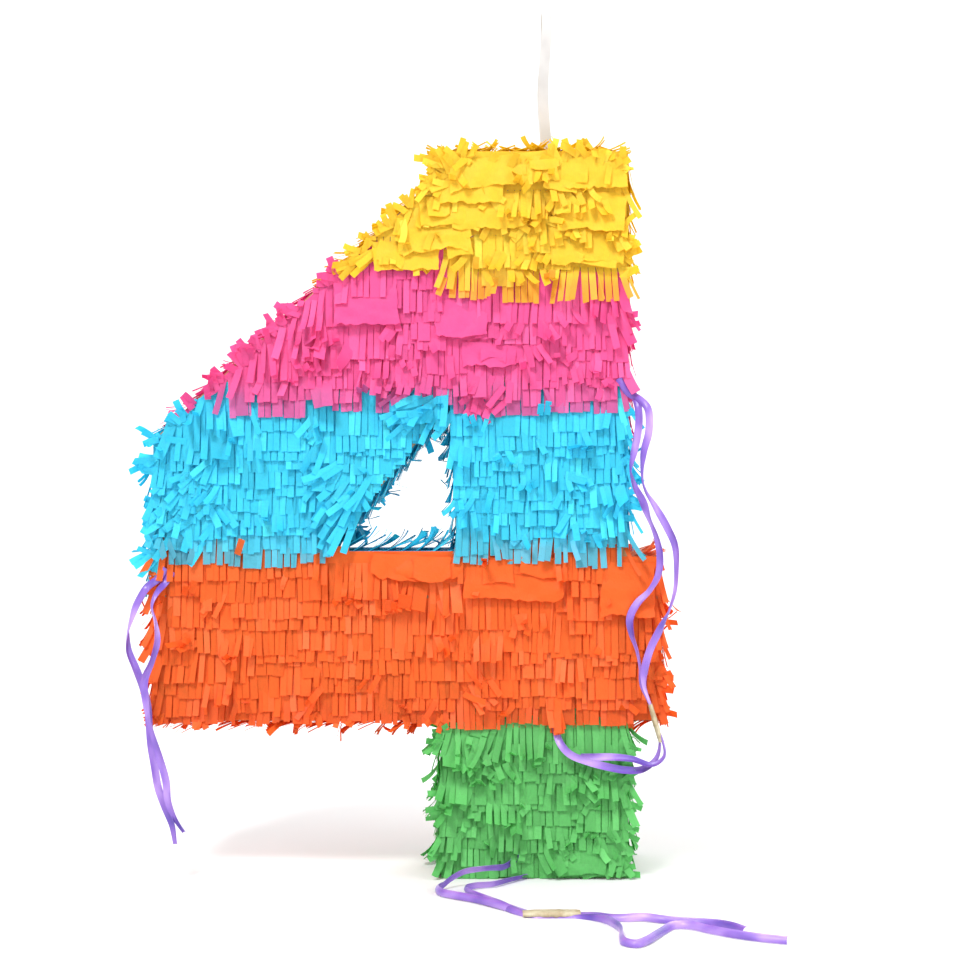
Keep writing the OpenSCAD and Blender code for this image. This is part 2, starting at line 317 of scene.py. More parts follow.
class Builder:
    """Collects closed sheets of paper, each with a tint, into one mesh."""

    def __init__(self):
        self.points, self.faces, self.tints, self.count = [], [], [], 0

    def add(self, points, faces, tints):
        self.points.append(points)
        self.faces.extend((faces + self.count).tolist())
        self.tints.append(tints)
        self.count += len(points)

    def sheets(self, grids, normals, thick, tints):
        """Adds sheets: grids is (sheets, rows, columns, 3), tints (sheets, rows, columns, 3)."""
        s, r, c, _ = grids.shape
        lift = normals * thick / 2
        both = np.stack([grids + lift, grids - lift], axis=1)
        index = np.arange(s * 2 * r * c).reshape(s, 2, r, c)
        top, low = index[:, 0], index[:, 1]

        def quads(a, b, c_, d):
            return np.stack([x.ravel() for x in (a, b, c_, d)], axis=1)

        faces = [
            quads(top[:, :-1, :-1], top[:, 1:, :-1], top[:, 1:, 1:], top[:, :-1, 1:]),
            quads(low[:, :-1, :-1], low[:, :-1, 1:], low[:, 1:, 1:], low[:, 1:, :-1]),
            quads(top[:, :-1, 0], low[:, :-1, 0], low[:, 1:, 0], top[:, 1:, 0]),
            quads(top[:, :-1, -1], top[:, 1:, -1], low[:, 1:, -1], low[:, :-1, -1]),
            quads(top[:, 0, :-1], top[:, 0, 1:], low[:, 0, 1:], low[:, 0, :-1]),
            quads(top[:, -1, :-1], low[:, -1, :-1], low[:, -1, 1:], top[:, -1, 1:]),
        ]
        tints = np.repeat(tints[:, None], 2, axis=1)
        self.add(both.reshape(-1, 3), np.concatenate(faces), tints.reshape(-1, 3))

    def build(self, name, mat, sharp=28):
        """The sheets so far as one piece, with their tints as its Tint attribute."""
        piece = mesh_piece(name, world(np.concatenate(self.points)), self.faces, mat, sharp)
        tints = np.concatenate(self.tints)
        layer = piece.data.color_attributes.new("Tint", "FLOAT_COLOR", "POINT")
        rgba = np.concatenate([tints, np.ones((len(tints), 1))], axis=1)
        layer.data.foreach_set("color", rgba.ravel().astype(np.float32))
        return piece


def unit(v):
    return v / np.maximum(np.linalg.norm(v, axis=-1, keepdims=True), 1e-9)


# ---- Tissue fringe ----

EDGE_PITCH = 9.0  # between rows round the edge
FLAP_PITCH = 8.1  # between rows on the flap
STRAND_W = 3.8
STRAND_L = 21.0
LEAST_W = 1.2  # no strand starts nearer than this to a row's end
LEAST_L = 3.0
ROOT_N = 0.35  # how far off the card a row's strands start
WIDE_SHARE = 0.09  # of the strands are about two cuts wide
MARGIN_H = 9.5  # the glued edge above the strands
PAPER_T = 0.12
RINGS = 8  # cross-sections of a strand
SHINGLE = deg(8.5)  # how far strands stand off, lying on the row beneath
LEAST_LIFT = 0.25  # of the paper off the card, and off the ground
FLARE_REACH = 9  # how far from a row's end its strands fan out
SIDE_GAP = 0.4  # between a margin's ends and the edge of what it is glued to
CREASES = 7  # straight folds across a crumpled sheet


class Face:
    """A flat face of the body: a point is at + u * across + d * down + n * out."""

    def __init__(self, at, across, down, out):
        self.at, self.across, self.down, self.out = (np.array(v, float) for v in (at, across, down, out))

    def place(self, u, d, n):
        u, d, n = (np.asarray(v, float)[..., None] for v in (u, d, n))
        return self.at + u * self.across + d * self.down + n * self.out


class Strands:
    """The strands of one piece, each given by its root, size and bends."""

    FIELDS = ("u", "d", "n", "w", "l", "lift", "curl", "yaw", "sweep", "twist", "fold", "fold_at",
              "shade", "ghost")
    PLAIN = {"fold": 0, "fold_at": 2, "ghost": 0}

    def __init__(self):
        self.rows = []

    def add(self, **values):
        values = {**self.PLAIN, **values}
        self.rows.append([values[f] for f in self.FIELDS])

    def build(self, builder, face, tint, ghost_tint):
        """Adds a thin sheet for each strand; ghost is how much of the row beneath shows through."""
        if not self.rows:
            return
        v = {f: np.array(col, float)[:, None] for f, col in zip(self.FIELDS, zip(*self.rows))}
        s = np.linspace(0, 1, RINGS)[None, :]
        turn = 1 / (1 + np.exp(-(s - v["fold_at"]) * 60))
        lift = v["lift"] + v["curl"] * s**1.5 + v["fold"] * turn
        yaw = v["yaw"] + v["sweep"] * s
        step = v["l"] / (RINGS - 1)
        du = np.cos(lift) * np.sin(yaw) * step
        dd = np.cos(lift) * np.cos(yaw) * step
        dn = np.sin(lift) * step

        def run(start, change):
            mids = (change[:, 1:] + change[:, :-1]) / 2
            return np.concatenate([start, start + np.cumsum(mids, axis=1)], axis=1)

        u, d, n = run(v["u"], du), run(v["d"], dd), run(v["n"], dn)
        n = np.maximum(n, LEAST_LIFT)
        centre = face.place(u, d, n)
        along = unit(np.gradient(centre, axis=1))
        side = unit(np.cos(yaw)[..., None] * face.across - np.sin(yaw)[..., None] * face.down)
        side = unit(side - (side * along).sum(-1, keepdims=True) * along)
        normal = np.cross(along, side)
        normal *= np.sign((np.cross(face.down, face.across) * face.out).sum() or 1)
        twist = (v["twist"] * s)[..., None]
        across = np.cos(twist) * side + np.sin(twist) * normal
        normal = np.cos(twist) * normal - np.sin(twist) * side
        half = (v["w"] / 2)[..., None]
        grids = np.stack([centre - across * half, centre + across * half], axis=2)
        grids[..., 2] = np.maximum(grids[..., 2], LEAST_LIFT)
        normals = np.stack([normal, normal], axis=2)
        mix = (v["ghost"] * np.clip(s * 3 - 0.6, 0, 1))[..., None]
        colour = tint * (1 - mix) + ghost_tint * mix
        # A strand's shade is its own random tone; above 1 it also adds white, a painted highlight.
        shade = v["shade"][..., None]
        colour = colour * shade + np.maximum(shade - 1, 0) * 0.35
        tints = np.repeat(colour[:, :, None], 2, axis=2)
        builder.sheets(grids, normals, PAPER_T, np.clip(tints, 0, 1))


def mess(rng, rough):
    """How one run of neighbouring strands hangs: a choice of habits, wilder as rough grows."""
    habits = (("flat", 0.60), ("lifted", 0.20 * rough), ("swept", 0.11 * rough), ("folded", 0.06 * rough),
              ("short", 0.03))
    weights = np.array([w for _, w in habits])
    kind = habits[rng.choice(len(habits), p=weights / weights.sum())][0]
    way = rng.choice([-1, 1])
    run = {"lift": SHINGLE, "curl": 0, "yaw": rng.normal(0, deg(1.5)), "sweep": 0, "twist": 0,
           "fold": 0, "fold_at": 2, "long": 1.0, "loose": deg(1.2), "count": int(rng.integers(4, 11))}
    if kind == "flat":
        run["curl"] = rng.normal(0, deg(3))
    elif kind == "lifted":
        run.update(lift=rng.uniform(deg(9), deg(17)), curl=rng.uniform(deg(5), deg(42)), loose=deg(4),
                   yaw=rng.normal(0, deg(5)), twist=rng.normal(0, deg(14)), count=int(rng.integers(2, 6)))
    elif kind == "swept":
        run.update(lift=rng.uniform(deg(10), deg(22)), curl=rng.uniform(deg(-8), deg(30)), loose=deg(6),
                   yaw=way * rng.uniform(deg(6), deg(26)), sweep=way * rng.uniform(0, deg(34)),
                   twist=rng.normal(0, deg(30)), count=int(rng.integers(1, 4)))
    elif kind == "folded":
        either_way = rng.random() < 0.25
        fold = way * rng.uniform(deg(70), deg(150)) if either_way else rng.uniform(deg(60), deg(135))
        run.update(lift=deg(13), fold=fold, fold_at=rng.uniform(0.3, 0.6), loose=deg(5),
                   yaw=rng.normal(0, deg(12)), count=int(rng.integers(1, 4)))
    else:
        run.update(long=rng.uniform(0.4, 0.7), count=int(rng.integers(1, 3)))
    return run


def hang_row(strands, rng, u0, u1, d, rough, room, ghost=0.0, length=STRAND_L, lift=0.0, splay=(1.0, 1.0)):
    """One row of strands from u0 to u1, rooted at d. room(u) is how long a strand may be there.

    splay is how much the strands fan out at the row's left and right ends.
    """
    u = u0 + rng.uniform(0, 0.4)
    while u < u1 - LEAST_W:
        run = mess(rng, rough)
        row_l = length * run["long"] * rng.normal(1, 0.07)
        base = rng.normal(1, 0.03)
        for _ in range(run["count"]):
            if u >= u1 - LEAST_W:
                break
            w = STRAND_W * (rng.uniform(1.6, 2.2) if rng.random() < WIDE_SHARE else rng.normal(1, 0.09))
            w = min(w, u1 - u)
            mid = u + w / 2
            side = -1 if mid - u0 < u1 - mid else 1
            edge = max(0.0, 1 - min(mid - u0, u1 - mid) / FLARE_REACH)
            out = edge * rng.random() * splay[0 if side < 0 else 1]
            l = min(row_l + rng.normal(0, 0.3), room(mid))
            strands.add(
                u=mid, d=d + rng.normal(0, 0.12), n=ROOT_N, w=w - rng.uniform(0.25, 0.55),
                l=max(l, LEAST_L),
                lift=run["lift"] + lift + rng.normal(0, run["loose"]) + out * deg(12),
                curl=run["curl"] + rng.normal(0, run["loose"] * 1.5) + out * rng.uniform(0, deg(30)),
                yaw=run["yaw"] + rng.normal(0, run["loose"]) + side * out * deg(26),
                sweep=run["sweep"] + side * out * deg(18),
                twist=run["twist"] + rng.normal(0, deg(5)),
                fold=run["fold"], fold_at=run["fold_at"],
                shade=base * rng.normal(1, 0.05), ghost=ghost,
            )
            u += w


def crumpled(builder, rng, face, u0, u1, d0, d1, tint, depth, n0=0.6, slope=SHINGLE, cell=2.2, ragged=0.6,
             tilt=0.0, bow=0.0, lean=0.0):
    """An uncut stretch of tissue with creases, from d0 at its glued top to d1 at its lower edge.

    Its left end leans to the right by lean for each millimetre upwards.
    """
    cols = max(2, int((u1 - u0) / cell) + 1)
    rows = max(2, int((d1 - d0) / cell) + 1)
    uu, dd = np.meshgrid(np.linspace(u0, u1, cols), np.linspace(d0, d1, rows))
    share = (dd - d0) / max(d1 - d0, 1e-6)
    n = n0 + (dd - d0) * math.tan(slope)
    for _ in range(CREASES):
        turn = rng.normal(math.pi / 2, 0.75)
        wave = rng.uniform(7, 30)
        t = (uu * math.cos(turn) + dd * math.sin(turn)) / wave + rng.uniform(0, 1)
        n = n + depth * rng.uniform(0.05, 0.45) * (np.abs((t % 1) - 0.5) * 2) * (0.3 + 0.7 * share)
    dents = rng.normal(0, 1, (rows, cols))
    for _ in range(2):
        dents[1:-1] = (dents[:-2] + dents[2:] + 2 * dents[1:-1]) / 4
        dents[:, 1:-1] = (dents[:, :-2] + dents[:, 2:] + 2 * dents[:, 1:-1]) / 4
    n = n + dents * depth * 0.5
    edge = np.cumsum(rng.normal(0, ragged, cols))
    edge = edge - np.linspace(edge[0], edge[-1], cols)
    dd = dd + share * (edge + rng.normal(0, ragged * 0.5, cols))[None, :]
    end = np.cumsum(rng.normal(0, ragged * 0.6, rows))[:, None] * np.array([1.0, -1.0])[None, :]
    across = (uu - u0) / max(u1 - u0, 1e-6)
    uu = uu + (1 - across) ** 4 * end[:, :1] + across**4 * end[:, 1:]
    dd = dd + bow * (4 * across * (1 - across) - 0.7) * share
    uu = uu + lean * (d1 - dd) * (1 - across)
    mid_u, mid_d = (u0 + u1) / 2, (d0 + d1) / 2
    uu, dd = uu - tilt * (dd - mid_d), dd + tilt * (uu - mid_u)
    grid = face.place(uu, dd, np.maximum(n, LEAST_LIFT))
    gu, gd = np.gradient(grid, axis=1), np.gradient(grid, axis=0)
    normal = unit(np.cross(gu, gd))
    normal *= np.sign((normal * face.out).sum(-1, keepdims=True))
    shade = rng.normal(1, 0.012, uu.shape)[..., None]
    tints = np.clip(tint * shade, 0, 1)
    builder.sheets(grid[None], normal[None], PAPER_T, tints[None])


def margin(builder, rng, face, u0, u1, d, tint, height=MARGIN_H, lean=0.0):
    """The uncut, glued top edge that a row's strands hang from."""
    if u1 - u0 > 1.5:
        crumpled(builder, rng, face, u0, u1, d - height, d + 0.4, tint, 0.05, n0=0.3, slope=0.0, cell=5.0,
                 ragged=0.0, lean=lean)


# ---- Where rows run on the panels ----


def crossings(outline, h):
    """Where a level line at h crosses a closed outline, from left to right."""
    found = []
    for (x0, h0), (x1, h1) in zip(outline, outline[1:] + outline[:1]):
        if (h0 - h) * (h1 - h) < 0:
            found.append(x0 + (x1 - x0) * (h - h0) / (h1 - h0))
    return sorted(found)


def spans(h):
    """The stretches of card at height h, as (left, right)."""
    body, hole = crossings(OUTLINE, h), crossings(HOLE, h)
    if hole:
        return [(body[0], hole[0]), (hole[1], body[1])]
    return [(body[0], body[1])]


def edges_at(x):
    """The heights where the card's outlines cross the upright line at x."""
    found = []
    for outline in (OUTLINE, HOLE):
        for (x0, h0), (x1, h1) in zip(outline, outline[1:] + outline[:1]):
            if (x0 - x) * (x1 - x) < 0:
                found.append(h0 + (h1 - h0) * (x - x0) / (x1 - x0))
    return found


def card_below(x, h):
    """How far straight down from (x, h) the card goes on."""
    return h - max((at for at in edges_at(x) if at < h - 0.01), default=0.0)


def card_above(x, h):
    """How far straight up from (x, h) the card goes on."""
    return min((at for at in edges_at(x) if at > h), default=h + 99) - h


# Large uncut, crumpled stretches: left, right, top height, lower height.
SHEETS = {
    "yellow": [
        (-56, 4, 412, 396), (-2, 44, 411, 394), (-64, -26, 401, 384), (-54, -14, 390, 371), (4, 44, 391, 369),
        (-74, -46, 389, 371), (-86, -46, 377, 357), (0, 44, 371, 350), (-100, -62, 363, 347),
    ],
    "pink": [(-122, -86, 343, 315), (-66, -34, 330, 309), (-48, -20, 306, 292)],
    "blue": [(-92, -66, 276, 258)],
    "orange": [(30, 60, 180, 150), (-46, 6, 183, 160), (-100, -50, 184, 172)],
    "green": [(6, 41, 19, 3)],
}
ROUGH = {"yellow": 1.1, "pink": 0.85, "blue": 0.75, "orange": 0.65, "green": 1.1}
PITCH = {"yellow": 8.6, "pink": 7.2, "blue": 7.8, "orange": 8.6, "green": 8.0}
GHOST = {
    "yellow": srgb(255, 176, 66), "pink": srgb(216, 122, 186), "blue": srgb(118, 196, 216),
    "orange": srgb(240, 104, 40), "green": srgb(92, 190, 100),
}
# How far above a band's lower end its last row is rooted, and how far its first row is under the
# band above.
LAST_ROOT = {"yellow": 18.5, "pink": 18.5, "blue": 18.5, "orange": 23.0, "green": 13.0}
UNDER_LAP = 7.0
TOP_REACH = 14  # a row rooted nearer than this to the card's top has its margin reach up to it
SKIRT_H = 21  # the uncut paper under the last row of orange and green


def panel_face(front):
    """A panel's face: u is x, and d runs down from the foot's height."""
    side = -1 if front else 1
    return Face((0, side * FACE_Y, 0), (1, 0, 0), (0, 0, -1), (0, side, 0))


def row_heights(name):
    """The root lines of a band's rows, from the lowest up."""
    top = BAND_TOP[name] + UNDER_LAP
    if name == "yellow":
        top = BODY_H - 4
    elif name == "green":
        top = BAR_LOW - 1
    low = BAND_LOW[name] + LAST_ROOT[name]
    count = max(1, round((top - low) / PITCH[name]))
    return [low + k * (top - low) / count for k in range(count + 1)]


# On the front, left of STEP_X, yellow stops STEP_ROWS rows early and pink starts as much higher.
STEP_X = -62
STEP_UP = 16
STEP_ROWS = 2


def row_parts(rng, name, front, h, from_low, from_top):
    """The stretches that a row at h is hung in, with the flap and the step in the bands left out."""
    for x0, x1 in spans(min(h, BODY_H - 1)):
        slope_left = SLOPE_LOW < h < SLOPE_HIGH and x0 < HOLE_HIGH[0] - 8
        x0 = crossings(OUTLINE, max(h - 3, SLOPE_LOW + 1))[0] if slope_left else x0
        parts = [(x0, x1)]
        if not front and FLAP_BASE - 1 < h < FLAP_HINGE + 1:
            parts = [(x0, FLAP_LOW[0] - 0.8), (FLAP_HIGH[0] + 0.8, x1)]
        if front and name == "yellow" and from_low < STEP_ROWS:
            parts = [(STEP_X + rng.uniform(-3, 3), x1)]
        if front and name == "pink" and from_top < STEP_ROWS:
            parts = [(x0, STEP_X + rng.uniform(0, 6))]
        yield from ((a, b) for a, b in parts if b - a > 2)


def panel_fringe(name, front, seed):
    """A colour band of a panel's fringe, as one piece."""
    rng = np.random.default_rng(seed)
    side = "front" if front else "back"
    face, builder, strands = panel_face(front), Builder(), Strands()
    sheets = [s for s in SHEETS[name] if front or not near_flap(s)]
    heights = row_heights(name)
    if front and name == "pink":
        heights += [heights[-1] + STEP_UP * (k + 1) / STEP_ROWS for k in range(STEP_ROWS)]
    for k, h in enumerate(heights):
        inner = 0 < k and (name != "yellow" or h < BODY_H - 6)
        h = h + (rng.normal(0, 0.7) if inner else 0)
        for a, b in row_parts(rng, name, front, h, k, len(heights) - 1 - k):
            hang_panel_row(builder, strands, rng, face, name, front, a, b, h, k, sheets)
    hang_sheets(builder, rng, face, name, sheets)
    edge_tufts(strands, rng, name)
    loose_strands(strands, rng, name, front)
    if front:
        group_strands(strands, rng, name)
    strands.build(builder, face, TISSUE[name], GHOST[name])
    piece = builder.build(side + "_tissue_" + name, MATERIAL[name])
    assign(piece, side + "_fringe_" + name)


def hang_sheets(builder, rng, face, name, sheets):
    """The large uncut stretches, and up to two smaller ones on each."""
    for left, right, high, low in sheets:
        crumpled(builder, rng, face, left, right, -high, -low, TISSUE[name], 2.0, n0=0.7,
                 tilt=rng.normal(0, 0.05), bow=rng.normal(0, 1.5))
        for _ in range(rng.integers(0, 3)):
            a = rng.uniform(left, right - 12)
            b = min(a + rng.uniform(12, 26), right + 2)
            top = rng.uniform((high + low) / 2, high)
            crumpled(builder, rng, face, a, b, -top, -max(top - rng.uniform(7, 14), 1), TISSUE[name], 1.6,
                     n0=2.0, tilt=rng.normal(0, 0.16), bow=rng.normal(0, 1.5), ragged=0.3)


WALL_ORANGE = BAR_HIGH - 6  # where orange ends round the walls


def band_of(h, orange_top=WALL_ORANGE):
    """The colour band at a height."""
    for name in BANDS:
        low = orange_top if name == "blue" else BAND_LOW[name]
        if h >= low - 2:
            return name
    return "green"


def slope_band(h, orange_top=WALL_ORANGE):
    """The colour band on the slope, where pink reaches as high as it does on the front beside it."""
    name = band_of(h, orange_top)
    return "pink" if name == "yellow" and h < BAND_LOW["yellow"] + STEP_UP else name


# Groups of strands with a lie of their own on the front: band, strands, the box they are rooted
# in (left, right, low, high), the way they point and its spread (degrees from straight down), least
# and most length.
GROUPS = [
    ("blue", 16, (-76, -60, 264, 276), -52, 18, 16, 26), ("blue", 4, (-61, -55, 276, 280), -3, 5, 17, 25),
    ("blue", 30, (-128, -84, 200, 240), -34, 9, 19, 28),
    ("blue", 44, (-222, -188, 190, 250), -34, 20, 11, 18),
    ("yellow", 14, (-110, -92, 350, 366), -52, 18, 10, 17),
    ("yellow", 12, (-64, -54, 392, 412), -70, 24, 9, 15),
    ("yellow", 7, (-62, -48, 401, 409), -138, 26, 10, 17), ("yellow", 7, (0, 14, 402, 410), 190, 36, 10, 17),
    ("yellow", 6, (28, 42, 402, 409), 150, 30, 8, 13), ("yellow", 5, (-34, -16, 403, 410), 170, 36, 6, 11),
    ("yellow", 22, (-40, 10, 372, 392), 4, 26, 9, 15), ("green", 18, (28, 42, 8, 26), 24, 20, 8, 14),
    ("pink", 16, (-46, -20, 272, 290), -10, 30, 10, 16), ("orange", 9, (-1, 6, 103, 109), 0, 4, 19, 23),
    ("green", 7, (-23, -13, 20, 26), 0, 6, 10, 14),
]


def group_strands(strands, rng, name):
    """The listed groups of one band."""
    for band, count, (x0, x1, h0, h1), yaw, spread, short, long in GROUPS:
        if band != name:
            continue
        for _ in range(count):
            x, h = rng.uniform(x0, x1), rng.uniform(h0, h1)
            hole = crossings(HOLE, h)
            in_hole = hole and hole[0] - 1.5 < x < hole[1] + 1
            if in_hole or x < crossings(OUTLINE, min(h, BODY_H - 1))[0] + 2:
                continue
            strands.add(u=x, d=-h, n=rng.uniform(1.0, 2.6), w=STRAND_W * rng.uniform(0.9, 1.1),
                        l=rng.uniform(short, long), lift=rng.uniform(deg(4), deg(18)),
                        curl=rng.uniform(deg(-12), deg(30)), yaw=deg(yaw) + rng.normal(0, deg(spread)),
                        sweep=rng.normal(0, deg(14)), twist=rng.normal(0, deg(18)),
                        shade=rng.normal(1, 0.045))


# How many odd strands each band has, or clumps of up to three.
LOOSE = {"yellow": 40, "pink": 26, "blue": 24, "orange": 22, "green": 34}


def loose_strands(strands, rng, name, front):
    """Odd strands that stand off the rows, turned every way."""
    for _ in range(LOOSE[name]):
        h = rng.uniform(max(BAND_LOW[name] + 16, 12), BAND_TOP[name] - 3)
        a, b = spans(h)[int(rng.integers(len(spans(h))))]
        x = rng.uniform(a + 4, b - 4)
        over_flap = FLAP_LOW[0] - 6 < x < FLAP_HIGH[0] + 6 and FLAP_BASE - 8 < h < FLAP_HINGE + 22
        if (not front and over_flap) or card_below(x, h) < 14:
            continue
        clump = int(rng.integers(1, 4))
        yaw, lift, curl = rng.normal(0, deg(30)), rng.uniform(deg(6), deg(26)), rng.uniform(deg(-10), deg(50))
        for i in range(clump):
            strands.add(u=x + i * STRAND_W, d=-h + rng.normal(0, 0.5), n=rng.uniform(1.2, 2.6),
                        w=STRAND_W * rng.uniform(0.85, 1.1), l=rng.uniform(9, 16),
                        lift=lift + rng.normal(0, deg(5)), curl=curl, yaw=yaw + rng.normal(0, deg(6)),
                        sweep=rng.normal(0, deg(22)), twist=rng.normal(0, deg(24)),
                        fold=rng.choice([0.0, deg(80)], p=[0.85, 0.15]), fold_at=rng.uniform(0.35, 0.6),
                        shade=rng.normal(1, 0.05))


def by_flap(left, right):
    """Whether a stretch from left to right passes the fill flap."""
    return left < FLAP_HIGH[0] + 1 and right > FLAP_LOW[0] - 1


def near_flap(sheet):
    """Whether an uncut stretch comes near the fill flap."""
    left, right, high, low = sheet
    return by_flap(left, right) and high > FLAP_BASE - 1 and low < FLAP_HINGE + 18


def under_sheet(sheets, x, h):
    """Whether a root at (x, h) is covered by one of the uncut stretches."""
    return any(left + 2 < x < right - 2 and low + 5 < h < high + 1 for left, right, high, low in sheets)


def hang_panel_row(builder, strands, rng, face, name, front, a, b, h, k, sheets):
    """A band's row k from below, from a to b: its margin in pieces and its strands, kept on the card."""
    overhang = rng.uniform(1.0, 4.0)
    phase, tall, wave = rng.uniform(0, 6.3), rng.uniform(0.3, 1.1), rng.uniform(60, 120)

    def room(x):
        below = card_below(x, h)
        if h - below < 0.5:
            longest = below - 0.6
        elif HOLE_LOW[0] < x < HOLE_HIGH[0] and h - below > HOLE_FLOOR - 1:
            longest = below + rng.uniform(-0.5, 2.0)
        else:
            longest = below + overhang + rng.normal(0, 0.8)
        if not front and h > FLAP_HINGE and by_flap(x, x):
            longest = min(longest, h - FLAP_HINGE - 3.0)
        return longest

    cuts = [a]
    while cuts[-1] < b:
        step = rng.uniform(14, 34)
        cuts.append(b if b - cuts[-1] < step + 6 else cuts[-1] + step)
    beside_hole = b < HOLE_HIGH[0] or a > HOLE_LOW[0] + 10 and crossings(HOLE, h) != []
    for u0, u1 in zip(cuts, cuts[1:]):
        mid = (u0 + u1) / 2
        root = h + tall * math.sin(phase + mid / wave * 2 * math.pi)
        above = card_above(mid, root)
        high = above + SIDE_GAP if above < TOP_REACH else MARGIN_H
        if not front and 0 < FLAP_BASE - root < high and by_flap(u0, u1):
            high = FLAP_BASE - root - 0.3
        rim = crossings(OUTLINE, root)[0]
        on_slope = u0 == a and SLOPE_LOW < root < SLOPE_HIGH and a < rim + 8
        start = rim + SIDE_GAP if on_slope else u0
        lean = SLOPE_LEAN * min(1, (SLOPE_HIGH - root) / high) if on_slope else 0
        margin(builder, rng, face, start, u1, -root, TISSUE[name], high, lean)
        if k == 0 and name in ("orange", "green"):
            down = min(card_below(mid, root) - 0.6, SKIRT_H)
            margin(builder, rng, face, u0, u1, -root + down, TISSUE[name], down)
        if under_sheet(sheets, mid, h) and k > 0:
            continue
        ghost = {0: 0.9, 1: 0.35}.get(k, 0.0) * rng.uniform(0.6, 1.0) if name != "green" else 0.0
        left = 0.0 if u0 > a else 1.5 if h > SLOPE_LOW and a < -70 else 1.0
        right = 0.0 if u1 < b else 0.2 if b < HOLE_HIGH[0] else 1.0
        left = 0.2 if u0 == a and beside_hole and a > HOLE_LOW[0] else left
        hang_row(strands, rng, u0, u1, -root, ROUGH[name], room, ghost=ghost, splay=(left, right))


# Tufts that stand out round the panels: from, to, strands to the centimetre, least and most length.
ARM_MID = (ARM_L, BAR_HIGH)
TUFTS = [
    (OUTLINE[0], OUTLINE[1], 1.3, 5, 12), (OUTLINE[1], OUTLINE[2], 1.2, 6, 12),
    (OUTLINE[3], OUTLINE[4], 1.4, 6, 12), (OUTLINE[5], OUTLINE[6], 2.0, 7, 14),
    (OUTLINE[7], OUTLINE[8], 2.0, 7, 14), (OUTLINE[8], OUTLINE[9], 1.2, 5, 10),
    (OUTLINE[9], ARM_MID, 1.8, 5, 10), (ARM_MID, OUTLINE[10], 3.6, 8, 17),
    (OUTLINE[10], OUTLINE[11], 4.0, 6, 12), (OUTLINE[11], OUTLINE[0], 5.0, 6, 11),
]


def edge_tufts(strands, rng, name):
    """Strands near the panel's edges that point outwards, within one colour band."""
    for (x0, h0), (x1, h1), dense, short, long in TUFTS:
        size = math.hypot(x1 - x0, h1 - h0)
        out = np.array([-(h1 - h0), x1 - x0]) / size
        count = int(size * dense / 10)
        clumped = np.repeat(rng.random(count // 3 + 1), 3)[:count]
        for t in np.clip(clumped + rng.normal(0, 4 / size, count), 0, 1):
            inset = rng.uniform(1, 5)
            x = x0 + (x1 - x0) * t - out[0] * inset
            h = h0 + (h1 - h0) * t - out[1] * inset
            beside = x > STEM_R + 1 or x < STEM_L - 1 and h < BAND_LOW["orange"] + 5
            on_slope = x < STEP_X and h > SLOPE_LOW
            band = "orange" if beside else (slope_band if on_slope else band_of)(h, BAND_LOW["blue"])
            if band != name:
                continue
            yaw = math.atan2(out[0], -out[1]) + rng.normal(0, deg(32 if out[1] < 0.9 else 52))
            l = rng.uniform(short, long)
            if h < 20:
                yaw = math.copysign(min(abs(yaw), deg(80)) if h > 8 else deg(85), yaw)
            strands.add(u=x, d=-h, n=rng.uniform(0.4, 2.0), w=STRAND_W * rng.uniform(0.8, 1.1), l=l,
                        lift=rng.uniform(deg(4), deg(30)), curl=rng.uniform(deg(-20), deg(45)), yaw=yaw,
                        sweep=rng.normal(0, deg(14)), twist=rng.normal(0, deg(22)),
                        shade=rng.normal(1, 0.04))


def flap_fringe(seed):
    """The rows on the fill flap, which open with it."""
    rng = np.random.default_rng(seed)
    face, builder, strands = panel_face(False), Builder(), Strands()
    tint = TISSUE["yellow"]
    a, b = FLAP_LOW[0] + SIDE_GAP, FLAP_HIGH[0] - SIDE_GAP
    h = FLAP_BASE + 9
    while h < FLAP_HINGE - 3:
        def room(x):
            return h - FLAP_BASE + rng.uniform(0, 3)
        margin(builder, rng, face, a, b, -h, tint, min(MARGIN_H, FLAP_HINGE - 1.2 - h))
        hang_row(strands, rng, a, b, -h, 1.0, room, splay=(0, 0))
        h += FLAP_PITCH
    strands.build(builder, face, tint, tint)
    assign(builder.build("flap_tissue", MATERIAL["yellow"]), "flap_fringe", "flap")


# ---- Where rows run round the edge ----


def edge_face(p, q, side=1):
    """The wall from p to q of a clockwise outline: across runs back, down runs along the wall."""
    p, q = np.array([p[0], 0, p[1]]), np.array([q[0], 0, q[1]])
    along = unit(q - p)
    out = np.array([-along[2], 0, along[0]]) * side
    if along[2] > 0.2:
        p, q, along = q, p, -along
    return Face(p, (0, 1, 0), along, out), float(np.linalg.norm(q - p))


def edge_rows(builders, seed, p, q, lift, rough, colour_at, length=19.0, reach=4.0, start=3.0, side=1):
    """Rows across one wall strip. colour_at(h) gives the band that a row belongs to."""
    rng = np.random.default_rng(seed)
    face, long = edge_face(p, q, side)
    d = long - 5.0
    groups = {}
    while d > start:
        name = colour_at(face.place(0, d, 0)[2])
        if name not in groups:
            groups[name] = Strands()
        high = d if d < start + EDGE_PITCH + 1.5 else MARGIN_H
        margin(builders[name], rng, face, SIDE_GAP - FACE_Y, FACE_Y - SIDE_GAP, d, TISSUE[name], high)

        def room(_):
            return max(long - d + reach + rng.normal(0, 1.0), 4.0)
        hang_row(groups[name], rng, -FACE_Y, FACE_Y, d, rough, room, length=length, lift=deg(lift),
                 splay=(0.4, 0.4))
        d -= EDGE_PITCH * rng.normal(1, 0.06)
    for name, strands in groups.items():
        strands.build(builders[name], face, TISSUE[name], GHOST[name])


def one_band(name):
    return lambda _: name


